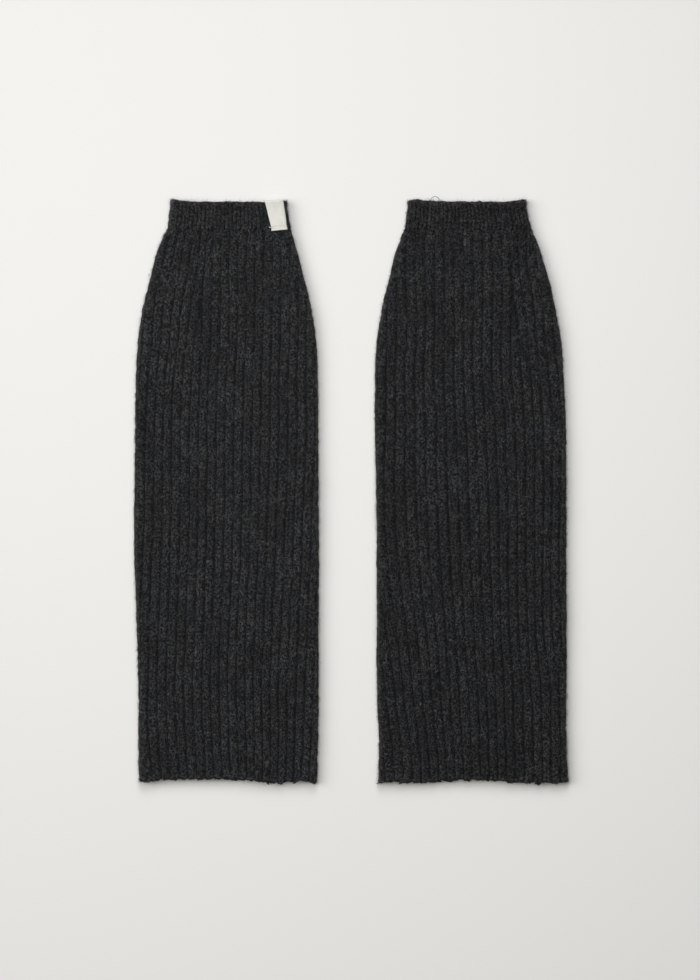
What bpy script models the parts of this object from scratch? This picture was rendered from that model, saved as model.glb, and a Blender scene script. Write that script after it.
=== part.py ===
"""Pair of ribbed knit leg warmers, laid flat side by side.

Each leg warmer is one knitted tube pressed flat: a front layer and a back layer lie on each other and
turn into one another at two side folds. A narrow cuff of fine rib heads the tube, and the wider rib
body flares out below it to an open hem. One tape label is folded over the edge of the left cuff.

Metres, +Z up. +Y runs from the hems to the cuffs, and the back layers rest on z = 0.
"""

import math
from collections import namedtuple

import bmesh
import bpy

MM = 0.001

# Lengths, mm. "down" is measured along the leg from the highest point of the cuff's edge.
LEG_LENGTH = 439.8
TOP_Y = 219.8
CUFF_HEIGHT = 22.8
SEAM_GAP = 0.3

# A flattened tube of cloth, mm: its wall, the gap left between its two layers, and how much more
# the layers part at the side folds, where the knit resists being pressed flat.
Cloth = namedtuple("Cloth", "wall gap fold_swell")
BODY_CLOTH = Cloth(wall=2.6, gap=0.9, fold_swell=0.6)
CUFF_CLOTH = Cloth(wall=2.2, gap=1.8, fold_swell=0.4)
SWELL_REACH = 14.0

# How finely the tubes are divided
FRONT_STEPS = 12
FOLD_STEPS = 6
CUFF_STEPS = 3
BODY_STEPS = 28
# The body's first steps are shorter, where it flares
FLARE_BIAS = 1.35
HEM_REACH = 60.0

# Half widths of a leg on either side of its axis, mm
Ring = namedtuple("Ring", "down left right")
# The shape of an open end: how far it lies inside the leg's full length, mm, across it from -1 to 1
EdgePoint = namedtuple("EdgePoint", "across inset")
Leg = namedtuple("Leg", "name axis_x cuff body cuff_edge hem_edge")

LEFT_LEG = Leg(
    name="left",
    axis_x=-93.61,
    cuff=(
        Ring(down=0.0, left=42.4, right=44.9),
        Ring(down=10.6, left=43.7, right=46.1),
        Ring(down=CUFF_HEIGHT, left=45.4, right=48.0),
    ),
    body=(
        Ring(down=CUFF_HEIGHT + SEAM_GAP, left=46.2, right=48.4),
        Ring(down=28.7, left=48.9, right=49.9),
        Ring(down=37.7, left=52.5, right=52.5),
        Ring(down=46.8, left=55.1, right=55.1),
        Ring(down=64.9, left=59.7, right=59.6),
        Ring(down=83.0, left=64.0, right=64.0),
        Ring(down=101.0, left=66.9, right=66.6),
        Ring(down=128.0, left=68.7, right=68.3),
        Ring(down=196.0, left=69.8, right=68.8),
        Ring(down=269.0, left=70.1, right=69.4),
        Ring(down=309.0, left=68.8, right=68.9),
        Ring(down=370.0, left=67.0, right=69.2),
        Ring(down=407.0, left=67.0, right=68.7),
        Ring(down=LEG_LENGTH, left=66.5, right=67.8),
    ),
    cuff_edge=(
        EdgePoint(across=-1.0, inset=0.0),
        EdgePoint(across=-0.6, inset=1.2),
        EdgePoint(across=0.2, inset=1.6),
        EdgePoint(across=0.9, inset=1.5),
        EdgePoint(across=1.0, inset=0.4),
    ),
    hem_edge=(
        EdgePoint(across=-1.0, inset=0.0),
        EdgePoint(across=-0.75, inset=2.6),
        EdgePoint(across=0.14, inset=2.8),
        EdgePoint(across=0.56, inset=0.1),
        EdgePoint(across=0.7, inset=1.6),
        EdgePoint(across=1.0, inset=0.8),
    ),
)

RIGHT_LEG = Leg(
    name="right",
    axis_x=89.89,
    cuff=(
        Ring(down=0.0, left=47.2, right=41.5),
        Ring(down=10.6, left=48.4, right=43.0),
        Ring(down=CUFF_HEIGHT, left=50.3, right=45.8),
    ),
    body=(
        Ring(down=CUFF_HEIGHT + SEAM_GAP, left=51.0, right=46.6),
        Ring(down=28.7, left=52.8, right=48.6),
        Ring(down=37.7, left=56.1, right=52.0),
        Ring(down=46.8, left=58.7, right=55.1),
        Ring(down=64.9, left=63.2, right=60.3),
        Ring(down=83.0, left=67.4, right=64.2),
        Ring(down=101.0, left=70.5, right=67.6),
        Ring(down=128.0, left=72.4, right=70.0),
        Ring(down=196.0, left=72.1, right=72.2),
        Ring(down=269.0, left=71.1, right=72.2),
        Ring(down=340.0, left=71.2, right=72.5),
        Ring(down=377.0, left=70.6, right=72.3),
        Ring(down=407.0, left=69.4, right=72.4),
        Ring(down=LEG_LENGTH, left=70.2, right=73.9),
    ),
    cuff_edge=(
        EdgePoint(across=-1.0, inset=0.2),
        EdgePoint(across=-0.5, inset=1.3),
        EdgePoint(across=0.4, inset=1.5),
        EdgePoint(across=1.0, inset=0.0),
    ),
    hem_edge=(
        EdgePoint(across=-1.0, inset=0.4),
        EdgePoint(across=-0.6, inset=1.1),
        EdgePoint(across=0.0, inset=2.4),
        EdgePoint(across=0.5, inset=1.2),
        EdgePoint(across=0.9, inset=0.0),
        EdgePoint(across=1.0, inset=1.4),
    ),
)

# The label, mm: a tape folded over the front layer's edge, set a little askew. Its sides are given
# from the leg's axis, at the cuff's edge and at the end of the flap that shows.
LABEL_WALL = 1.0
LABEL_CLEARANCE = 0.35
LABEL_AT_EDGE = (27.7, 41.2)
LABEL_AT_END = (32.7, 45.5)
LABEL_FLAP = 22.5
LABEL_HIDDEN_FLAP = 18.0
LABEL_STEPS_ACROSS = 4
LABEL_FLAP_STEPS = 3
LABEL_BEND_STEPS = 2

# Materials: linear base colour, roughness, metallic
Finish = namedtuple("Finish", "name colour roughness metallic")
BODY_KNIT = Finish("charcoal_body_rib", (0.020, 0.021, 0.023), 0.95, 0.0)
CUFF_KNIT = Finish("charcoal_cuff_rib", (0.021, 0.022, 0.024), 0.95, 0.0)
LABEL_TAPE = Finish("off_white_tape", (0.72, 0.72, 0.66), 0.8, 0.0)


def smooth_step(t):
    """Ease from 0 to 1 as t goes from 0 to 1."""
    t = min(max(t, 0.0), 1.0)
    return t * t * (3.0 - 2.0 * t)


def between(rows, key, column, at):
    """Read a column of a table at any place, on a smooth curve through its rows."""
    keys = [getattr(row, key) for row in rows]
    values = [getattr(row, column) for row in rows]
    at = min(max(at, keys[0]), keys[-1])
    i = 0
    while i < len(keys) - 2 and at > keys[i + 1]:
        i += 1

    def slope(j):
        low = max(j - 1, 0)
        high = min(j + 1, len(keys) - 1)
        return (values[high] - values[low]) / (keys[high] - keys[low])

    span = keys[i + 1] - keys[i]
    t = (at - keys[i]) / span
    start = values[i] * (1.0 + 2.0 * t) * (1.0 - t) ** 2 + slope(i) * span * t * (1.0 - t) ** 2
    end = values[i + 1] * t * t * (3.0 - 2.0 * t) + slope(i + 1) * span * t * t * (t - 1.0)
    return start + end


def half_thickness(cloth):
    """Half the height of the flattened tube at its side folds."""
    return cloth.wall + (cloth.gap + cloth.fold_swell) / 2.0


def front_point(cloth, left, right, x, outwards=0.0):
    """A point of the front layer's middle surface, x from the axis, moved out of the cloth."""
    radius = half_thickness(cloth) - cloth.wall / 2.0
    centre_z = half_thickness(cloth)
    inset = half_thickness(cloth)
    beyond = max(x - (right - inset), -(left - inset) - x)
    if beyond > 0.0:
        turned = math.asin(min(beyond / radius, 1.0))
        reach = radius + outwards
        side = 1.0 if x > 0.0 else -1.0
        fold_x = side * ((right if x > 0.0 else left) - inset)
        return fold_x + side * reach * math.sin(turned), centre_z + reach * math.cos(turned)
    swell = cloth.fold_swell * (1.0 - smooth_step(-beyond / SWELL_REACH))
    return x, 1.5 * cloth.wall + cloth.gap + swell + outwards


def section(cloth, left, right):
    """Points round the middle of a flattened tube's wall: front, right fold, back, left fold."""
    inset = half_thickness(cloth)
    radius = inset - cloth.wall / 2.0
    front = []
    for i in range(FRONT_STEPS + 1):
        x = -(left - inset) + (left + right - 2.0 * inset) * i / FRONT_STEPS
        front.append(front_point(cloth, left, right, x))
    back = [(x, cloth.wall / 2.0) for x, _ in reversed(front)]
    right_fold = []
    left_fold = []
    for i in range(1, FOLD_STEPS):
        turned = math.pi * i / FOLD_STEPS
        out = radius * math.sin(turned)
        up = radius * math.cos(turned)
        right_fold.append((right - inset + out, inset + up))
        left_fold.append((-(left - inset) - out, inset - up))
    return front + right_fold + back + left_fold


def leg_y(leg, down, across):
    """Where a point of a leg lies along Y, with the dips of its cuff's edge and of its hem."""
    near_cuff = 1.0 - smooth_step(down / CUFF_HEIGHT)
    near_hem = smooth_step((down - (LEG_LENGTH - HEM_REACH)) / HEM_REACH)
    cuff_inset = between(leg.cuff_edge, "across", "inset", across) * near_cuff
    hem_inset = between(leg.hem_edge, "across", "inset", across) * near_hem
    return TOP_Y - down - cuff_inset + hem_inset


def add_material(finish):
    material = bpy.data.materials.new(finish.name)
    material.use_nodes = True
    shader = material.node_tree.nodes["Principled BSDF"]
    shader.inputs["Base Color"].default_value = (*finish.colour, 1.0)
    shader.inputs["Roughness"].default_value = finish.roughness
    shader.inputs["Metallic"].default_value = finish.metallic
    material.diffuse_color = (*finish.colour, 1.0)
    return material


def add_lofted_cloth(name, rows, closed, wall, finish, collection):
    """Loft an open surface through rows of points, mm, and give it the cloth's wall."""
    mesh_builder = bmesh.new()
    rings = [[mesh_builder.verts.new([MM * c for c in point]) for point in row] for row in rows]
    count = len(rings[0])
    for upper, lower in zip(rings, rings[1:]):
        for i in range(count if closed else count - 1):
            j = (i + 1) % count
            mesh_builder.faces.new((upper[i], lower[i], lower[j], upper[j]))
    bmesh.ops.recalc_face_normals(mesh_builder, faces=mesh_builder.faces)
    mesh = bpy.data.meshes.new(name)
    mesh_builder.to_mesh(mesh)
    mesh_builder.free()
    cloth = bpy.data.objects.new(name, mesh)
    mesh.materials.append(add_material(finish))
    collection.objects.link(cloth)
    thickness = cloth.modifiers.new("wall", "SOLIDIFY")
    thickness.thickness = wall * MM
    thickness.offset = 0.0
    thickness.use_even_offset = True
    thickness.use_quality_normals = True
    return cloth


def add_tube(name, leg, rings, cloth, steps, bias, finish, collection):
    """One knitted tube of a leg, pressed flat, from the first of its rings to the last."""
    first = rings[0].down
    last = rings[-1].down
    rows = []
    for i in range(steps + 1):
        down = first + (last - first) * (i / steps) ** bias
        left = between(rings, "down", "left", down)
        right = between(rings, "down", "right", down)
        row = []
        for x, z in section(cloth, left, right):
            across = x / (left if x < 0.0 else right)
            row.append((leg.axis_x + x, leg_y(leg, down, across), z))
        rows.append(row)
    return add_lofted_cloth(name, rows, True, cloth.wall, finish, collection)


def label_path():
    """The label's way over the cuff's edge, as (down from the edge, out of the cloth's middle)."""
    out = CUFF_CLOTH.wall / 2.0 + LABEL_CLEARANCE + LABEL_WALL / 2.0
    bend = LABEL_CLEARANCE + LABEL_WALL / 2.0
    path = [(LABEL_FLAP * (1.0 - i / LABEL_FLAP_STEPS), out) for i in range(LABEL_FLAP_STEPS)]
    corner = out - bend
    for side in (1.0, -1.0):
        turn = [math.pi / 2.0 * i / LABEL_BEND_STEPS for i in range(LABEL_BEND_STEPS + 1)]
        for angle in turn if side > 0.0 else reversed(turn):
            path.append((-bend * math.sin(angle), side * (corner + bend * math.cos(angle))))
    for i in range(1, LABEL_FLAP_STEPS + 1):
        path.append((LABEL_HIDDEN_FLAP * i / LABEL_FLAP_STEPS, -out))
    return path


def add_label(leg, collection):
    """The tape label, made from the points of the cuff's front layer and moved out of it."""
    rows = []
    for down, out in label_path():
        on_cuff = max(down, 0.0)
        left = between(leg.cuff, "down", "left", on_cuff)
        right = between(leg.cuff, "down", "right", on_cuff)
        # The hidden flap leans the other way, as a tape does when it is folded askew.
        lean = on_cuff / LABEL_FLAP * (1.0 if out > 0.0 else -1.0)
        row = []
        for i in range(LABEL_STEPS_ACROSS + 1):
            share = i / LABEL_STEPS_ACROSS
            at_edge = LABEL_AT_EDGE[0] + (LABEL_AT_EDGE[1] - LABEL_AT_EDGE[0]) * share
            at_end = LABEL_AT_END[0] + (LABEL_AT_END[1] - LABEL_AT_END[0]) * share
            x, z = front_point(CUFF_CLOTH, left, right, at_edge + (at_end - at_edge) * lean, out)
            row.append((leg.axis_x + x, leg_y(leg, on_cuff, x / right) + on_cuff - down, z))
        rows.append(row)
    return add_lofted_cloth(leg.name + "_label", rows, False, LABEL_WALL, LABEL_TAPE, collection)


for old in list(bpy.data.objects):
    bpy.data.objects.remove(old, do_unlink=True)

pair = bpy.data.collections.new("leg_warmers")
bpy.context.scene.collection.children.link(pair)

for leg in (LEFT_LEG, RIGHT_LEG):
    add_tube(leg.name + "_body", leg, leg.body, BODY_CLOTH, BODY_STEPS, FLARE_BIAS, BODY_KNIT, pair)
    add_tube(leg.name + "_cuff", leg, leg.cuff, CUFF_CLOTH, CUFF_STEPS, 1.0, CUFF_KNIT, pair)
add_label(LEFT_LEG, pair)
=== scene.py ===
import math
from collections import namedtuple

import bmesh
import bpy
import numpy as np
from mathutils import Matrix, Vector
from mathutils.bvhtree import BVHTree


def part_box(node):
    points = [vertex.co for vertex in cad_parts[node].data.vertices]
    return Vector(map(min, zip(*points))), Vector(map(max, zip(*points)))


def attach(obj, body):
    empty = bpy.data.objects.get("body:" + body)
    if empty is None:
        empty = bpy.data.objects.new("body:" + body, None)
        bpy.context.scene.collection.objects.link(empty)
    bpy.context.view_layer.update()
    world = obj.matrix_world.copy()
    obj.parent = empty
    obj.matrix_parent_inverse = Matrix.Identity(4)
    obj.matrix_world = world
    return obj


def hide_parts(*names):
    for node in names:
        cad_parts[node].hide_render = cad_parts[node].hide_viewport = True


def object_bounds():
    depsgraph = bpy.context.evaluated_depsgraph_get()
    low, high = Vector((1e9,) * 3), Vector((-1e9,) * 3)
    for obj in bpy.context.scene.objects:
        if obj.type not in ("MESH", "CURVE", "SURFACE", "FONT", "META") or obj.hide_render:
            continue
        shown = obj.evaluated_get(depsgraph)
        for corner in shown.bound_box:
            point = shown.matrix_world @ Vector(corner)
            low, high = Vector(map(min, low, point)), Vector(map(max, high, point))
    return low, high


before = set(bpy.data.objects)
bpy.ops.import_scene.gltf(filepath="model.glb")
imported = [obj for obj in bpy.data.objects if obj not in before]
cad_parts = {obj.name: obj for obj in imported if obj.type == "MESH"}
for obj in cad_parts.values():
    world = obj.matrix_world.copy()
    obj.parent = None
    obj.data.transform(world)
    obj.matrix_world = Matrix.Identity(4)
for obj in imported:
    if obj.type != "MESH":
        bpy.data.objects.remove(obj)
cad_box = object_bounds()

MM = 0.001

# ---------------------------------------------------------------------------------------------
# Bodies of the two leg warmers: tubes of charcoal wool in 2x2 rib, knitted in the round and
# pressed flat, so the ribs run on over both side folds. Two lines of decreases, one in front and
# one behind, bring 42 ribs down to 32 under the cuff.

BODY_WALL = 2.6 * MM
COURSE = 2.3 * MM
BODY_RIBS = 42
# The front sags between the side folds, from this far in
FRONT_SAG = 0.5 * MM
FOLD_REACH = 14.0 * MM
# How far an end's shape reaches up or down the tube: the run of a hem, the small waves of an edge,
# and the pull of the seam under a cuff
HEM_REACH = 60.0 * MM
WAVE_REACH = 7.0 * MM
GATHER_REACH = 6.0 * MM
GATHER = 0.45 * MM


def ease(t):
    """From 0 to 1 as t goes from 0 to 1, smoothly."""
    t = np.clip(t, 0.0, 1.0)
    return t * t * (3.0 - 2.0 * t)


# Sizes of the patches of an unevenness, and where across its random lattice they start
Patch = namedtuple("Patch", "across along start")
LATTICE = 64


def uneven(across, along, patch, seed):
    """Smooth random values from -1 to 1 that change about once a patch each way."""
    lattice = np.random.default_rng(seed).uniform(-1.0, 1.0, (LATTICE, LATTICE))
    across = across / patch.across + patch.start
    along = along / patch.along
    i = np.floor(across).astype(int)
    j = np.floor(along).astype(int)
    u = ease(across - i)
    v = ease(along - j)
    left, right = i % LATTICE, (i + 1) % LATTICE
    low, high = j % LATTICE, (j + 1) % LATTICE
    near = lattice[left, low] * (1.0 - u) + lattice[right, low] * u
    far = lattice[left, high] * (1.0 - u) + lattice[right, high] * u
    return near * (1.0 - v) + far * v


# Soft rises and dips of a front layer that isn't pressed quite flat: their centres and reaches as
# shares of the leg's width and length, and height in mm.
Swell = namedtuple("Swell", "across down wide long height")
SWELLS = {
    "left": (
        Swell(0.20, 0.30, 0.14, 0.16, 0.35),
        Swell(0.55, 0.22, 0.12, 0.10, -0.3),
        Swell(0.80, 0.45, 0.12, 0.20, 0.4),
        Swell(0.40, 0.62, 0.16, 0.12, -0.35),
        Swell(0.62, 0.80, 0.14, 0.10, 0.3),
        Swell(0.15, 0.86, 0.10, 0.08, -0.3),
        Swell(0.62, 0.97, 0.08, 0.05, 0.5),
    ),
    "right": (
        Swell(0.78, 0.24, 0.14, 0.14, 0.35),
        Swell(0.40, 0.20, 0.14, 0.10, -0.3),
        Swell(0.22, 0.48, 0.12, 0.18, 0.4),
        Swell(0.60, 0.58, 0.15, 0.12, -0.35),
        Swell(0.35, 0.82, 0.12, 0.10, 0.3),
        Swell(0.85, 0.90, 0.10, 0.08, -0.3),
        Swell(0.55, 0.98, 0.10, 0.05, 0.4),
    ),
}
# Side folds are uneven by this much
FOLD_UNEVENNESS = 0.38 * MM
FOLD_PATCH = Patch(across=20.0 * MM, along=3.0 * MM, start=0.0)
FOLD_SEED = 5
# A tube's sides and its open end are measured at so many places from this far outside, and its
# sides no nearer to its ends than the margin
SIDE_PLACES = 90
EDGE_PLACES = 60
OUTSIDE = 50.0 * MM
END_MARGIN = 2.0 * MM


class Tube:
    """The form of one packed tube of cloth: its sides and its open end are measured off its node.

    A place on it is given by its arc, the way round the tube from the middle of the left fold over
    the front, and by how far down the leg it is; height is measured outwards from the cloth's face.
    """

    def __init__(self, side, part, open_end):
        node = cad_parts[f"{side}_{part}"]
        solid = BVHTree.FromObject(node, bpy.context.evaluated_depsgraph_get())
        low, high = (Vector(corner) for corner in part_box(node.name))
        self.side = side
        self.leg_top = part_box(f"{side}_cuff")[1][1]
        self.leg_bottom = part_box(f"{side}_body")[0][1]
        self.fold_radius = (high.z - low.z) / 2.0
        middle = (high.z + low.z) / 2.0
        self.y = np.linspace(low.y + END_MARGIN, high.y - END_MARGIN, SIDE_PLACES)
        self.left = []
        self.right = []
        for y in self.y:
            hit = solid.ray_cast(Vector((low.x - OUTSIDE, y, middle)), Vector((1, 0, 0)))[0]
            self.left.append(hit.x)
            hit = solid.ray_cast(Vector((high.x + OUTSIDE, y, middle)), Vector((-1, 0, 0)))[0]
            self.right.append(hit.x)
        self.bottom_end = open_end == "bottom"
        self.start = self.leg_top - high.y
        self.end = self.leg_top - low.y
        at_end = low.y if self.bottom_end else high.y
        edge_y = self.y[0] if self.bottom_end else self.y[-1]
        left = np.interp(edge_y, self.y, self.left) + 0.5 * self.fold_radius
        right = np.interp(edge_y, self.y, self.right) - 0.5 * self.fold_radius
        front = high.z - BODY_WALL / 2.0
        along = Vector((0, 1, 0)) if self.bottom_end else Vector((0, -1, 0))
        self.edge_x = np.linspace(left, right, EDGE_PLACES)
        self.edge_inset = []
        for x in self.edge_x:
            hit = solid.ray_cast(Vector((x, at_end, front)) - along * OUTSIDE, along)[0]
            self.edge_inset.append(0.0 if hit is None else hit.y - at_end)
        self.wave_arcs = np.array([0.0, 1.0]) * MM
        self.wave_rises = np.zeros(2)

    def width(self, down):
        y = self.leg_top - down
        return np.interp(y, self.y, self.right) - np.interp(y, self.y, self.left)

    def girth(self, down):
        return 2.0 * self.width(down) + (2.0 * math.pi - 4.0) * self.fold_radius

    def place(self, arc, down, height):
        """Points, and the directions that face out of the cloth there."""
        r = self.fold_radius
        y = self.leg_top - down
        left = np.interp(y, self.y, self.left)
        width = np.interp(y, self.y, self.right) - left
        flat = width - 2.0 * r
        quarter = math.pi * r / 2.0
        arc = np.mod(arc, 2.0 * flat + 4.0 * quarter)
        from_open_end = self.end - down if self.bottom_end else down - self.start
        open_girth = self.girth(self.end if self.bottom_end else self.start)
        wave = np.interp(arc, self.wave_arcs, self.wave_rises, period=open_girth)
        wave = wave * (1.0 - ease(from_open_end / WAVE_REACH))
        front = arc - quarter
        right_fold = front - flat
        back = right_fold - 2.0 * quarter
        left_fold = back - flat
        turn = np.select(
            [front < 0.0, right_fold < 0.0, back < 0.0, left_fold < 0.0],
            [front / r, 0.0 * arc, right_fold / r, math.pi + 0.0 * arc],
            math.pi + left_fold / r,
        )
        x = r + np.where(turn < math.pi / 2.0, np.clip(front, 0.0, flat), flat - np.clip(back, 0.0, flat))
        out_x = np.sin(turn)
        out_z = np.cos(turn)
        from_fold = np.minimum(x, width - x) - r
        facing = np.clip(out_z, 0.0, 1.0)
        rise = -FRONT_SAG * ease(from_fold / FOLD_REACH)
        share_down = down / (self.leg_top - self.leg_bottom)
        for swell in SWELLS[self.side]:
            away = ((x / width - swell.across) / swell.wide) ** 2
            away = away + ((share_down - swell.down) / swell.long) ** 2
            rise = rise + swell.height * MM * np.exp(-away) * ease(from_fold / FOLD_REACH)
        ragged = uneven(arc, down, FOLD_PATCH, FOLD_SEED) * np.abs(out_x)
        height = height + FOLD_UNEVENNESS * ragged
        if self.bottom_end:
            height = height - GATHER * (1.0 - ease((down - self.start) / GATHER_REACH))
        x = left + x + out_x * (r + height)
        z = r + out_z * (r + height) + facing * rise
        reach = HEM_REACH if self.bottom_end else self.end - self.start
        near_end = 1.0 - ease(from_open_end / reach)
        y = y + near_end * np.interp(x, self.edge_x, self.edge_inset) + wave
        points = np.stack([x, y, z], axis=-1)
        outwards = np.stack([out_x, 0.0 * out_x, out_z], axis=-1)
        return points, outwards


# One rib of a 2x2 rib, from one purl valley to the next: two columns of knit stitches, each a row
# of V shapes. Height is from the rib's crest, in mm, lift is how far up the V's arms that point is
# and belly how much a stitch swells there, both as shares.
RibPoint = namedtuple("RibPoint", "phase height lift belly")
TWO_BY_TWO = (
    RibPoint(0.00, -1.45, 1.0, 0.1),
    RibPoint(0.13, -0.28, 0.8, 0.9),
    RibPoint(0.29, -0.30, 0.0, 0.5),
    RibPoint(0.42, 0.00, 0.8, 1.0),
    RibPoint(0.50, -0.50, 1.0, 0.2),
    RibPoint(0.58, 0.00, 0.8, 1.0),
    RibPoint(0.71, -0.30, 0.0, 0.5),
    RibPoint(0.87, -0.28, 0.8, 0.9),
)
V_LIFT = 1.5 * MM
BELLY = 0.54 * MM
# The ends of a tube are bound, so its last stitches have no lifted arms
BOUND_REACH = 3.0 * MM
STITCH_UNEVENNESS = 0.10 * MM
RIB_UNEVENNESS = 0.18 * MM
RIB_PATCH = Patch(across=9.0 * MM, along=35.0 * MM, start=60.0)
# Valleys are partly closed here and there, and how open they are changes over the body's length
VALLEY_UNEVENNESS = 1.3 * MM
VALLEY_PATCH = Patch(across=6.0 * MM, along=5.0 * MM, start=20.0)
SHARE_DOWN = (0.0, 0.1, 0.25, 0.7, 1.0)
OPENNESS = (-0.2, -0.1, 0.15, 0.20, 0.55)
# How far ribs stray from their run, patches across counted in ribs
WANDER = 0.5 * MM
WANDER_PATCH = Patch(across=2.2, along=28.0 * MM, start=40.0)
WANDER_SEEDS = {"left": 15, "right": 16}
JOSTLE = 0.3 * MM
JOSTLE_PATCH = Patch(across=1.1, along=7.0 * MM, start=90.0)
JOSTLE_SEEDS = {"left": 19, "right": 20}
# The lowest the yarn lies, clear of the surface
ON_FLOOR = 0.03 * MM
COARSE_ROWS = 4
LINING_ROWS = 30
# Depth in mm that sets the painted shade on the wool: at most, at the rims and inside
MOST_SHADE_DEPTH = 2.0
RIM_SHADE_DEPTH = 0.2
LINING_SHADE_DEPTH = 0.8
# How far the rims of the open ends stand out past the last stitches
SEAM_RIM = 0.15 * MM
HEM_RIM = 0.1 * MM
# The hem's edge: drawn up a little, waved by the ribs, and uneven in patches
HEM_TUCK = 0.35 * MM
HEM_WAVE = 0.22 * MM
HEM_UNEVENNESS = 1.15 * MM
HEM_PATCH = Patch(across=3.4 * MM, along=1.0, start=30.0)
ROUGH_PATCH = Patch(across=28.0 * MM, along=1.0, start=10.0)
LEAST_ROUGH = 0.25
MORE_ROUGH = 1.5
HALF_WAY = 0.5

# Where the ribs run, at so many mm down. Rib 0 lies to the right of the front line of decreases;
# line is where that line is, as a share of the front, spread is how far the front's ribs are pulled
# apart towards the folds and bow how far they are pushed to the right in its middle, both in mm.
Flow = namedtuple("Flow", "down line spread bow")
FLOWS = {
    "left": (
        Flow(20, 0.340, 1.6, -2.3),
        Flow(45, 0.340, -1.7, -1.1),
        Flow(70, 0.337, -1.6, 1.5),
        Flow(95, 0.326, -1.5, 0.5),
        Flow(130, 0.303, -1.2, -1.2),
        Flow(170, 0.294, -0.3, -1.2),
        Flow(250, 0.293, -1.7, 0.8),
        Flow(330, 0.262, -1.1, 0.8),
        Flow(370, 0.247, -1.1, 1.1),
        Flow(405, 0.256, -1.4, 3.0),
        Flow(440, 0.274, -2.7, 4.9),
    ),
    "right": (
        Flow(20, 0.835, 7.1, 1.0),
        Flow(45, 0.787, 2.4, 1.1),
        Flow(70, 0.769, 1.1, 0.5),
        Flow(95, 0.773, 1.2, 2.3),
        Flow(130, 0.776, 2.2, 0.7),
        Flow(170, 0.789, 3.0, 1.6),
        Flow(210, 0.790, 3.9, 5.2),
        Flow(290, 0.793, 1.7, 6.3),
        Flow(330, 0.798, -0.7, 4.4),
        Flow(370, 0.821, -0.9, 0.6),
        Flow(405, 0.823, -2.4, -0.1),
        Flow(440, 0.820, -4.3, -0.5),
    ),
}
# How many ribs are decreased away, at so many mm down, before and after the front line, and on each
# side of the line down the middle of the back. At least this share of such a rib's width is left.
LEAST_SHARE = 0.02
Decrease = namedtuple("Decrease", "down before after back")
DECREASES = {
    "left": (
        Decrease(20, 0.0, 1.6, 4.0),
        Decrease(34, 0.15, 1.25, 3.7),
        Decrease(55, 0.2, 1.05, 2.9),
        Decrease(77, 0.1, 0.75, 1.8),
        Decrease(97, 0.0, 0.35, 0.6),
        Decrease(112, 0.0, 0.0, 0.0),
    ),
    "right": (
        Decrease(20, 1.05, 0.0, 4.0),
        Decrease(34, 1.05, 0.15, 3.7),
        Decrease(55, 0.95, 0.15, 2.9),
        Decrease(77, 0.7, 0.0, 1.8),
        Decrease(97, 0.2, 0.0, 0.6),
        Decrease(112, 0.0, 0.0, 0.0),
    ),
}
# The ribs that show from in front somewhere along the leg, counted from the front line
SHOWN_RIBS = {"left": (-9, 19), "right": (-20, 7)}


def smooth_column(rows, column, at):
    """A table's column at any place down the leg, eased from row to row."""
    downs = np.array([row.down for row in rows]) * MM
    values = np.array([getattr(row, column) for row in rows], dtype=float)
    i = np.clip(np.searchsorted(downs, at) - 1, 0, len(downs) - 2)
    slopes = np.gradient(values, downs)
    span = downs[i + 1] - downs[i]
    t = np.clip((at - downs[i]) / span, 0.0, 1.0)
    start = values[i] * (1 + 2 * t) * (1 - t) ** 2 + slopes[i] * span * t * (1 - t) ** 2
    end = values[i + 1] * t * t * (3 - 2 * t) + slopes[i + 1] * span * t * t * (t - 1)
    return start + end


def put(name, data):
    """A new object in the scene."""
    piece = bpy.data.objects.new(name, data)
    bpy.context.scene.collection.objects.link(piece)
    return piece


def knit_grid(tube, profile, ribs, first_rib, shown, course):
    """The columns and rows of a knitted tube's mesh."""
    columns = []
    for rib in range(first_rib, first_rib + ribs):
        fine = shown[0] <= rib < shown[1]
        points = profile if fine else profile[::2]
        columns += [(rib, point, fine) for point in points]
    courses = round((tube.end - tube.start) / course / 2.0) * 2
    rows = np.linspace(tube.start, tube.end, courses * 2 + 1)
    return columns, rows


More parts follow.
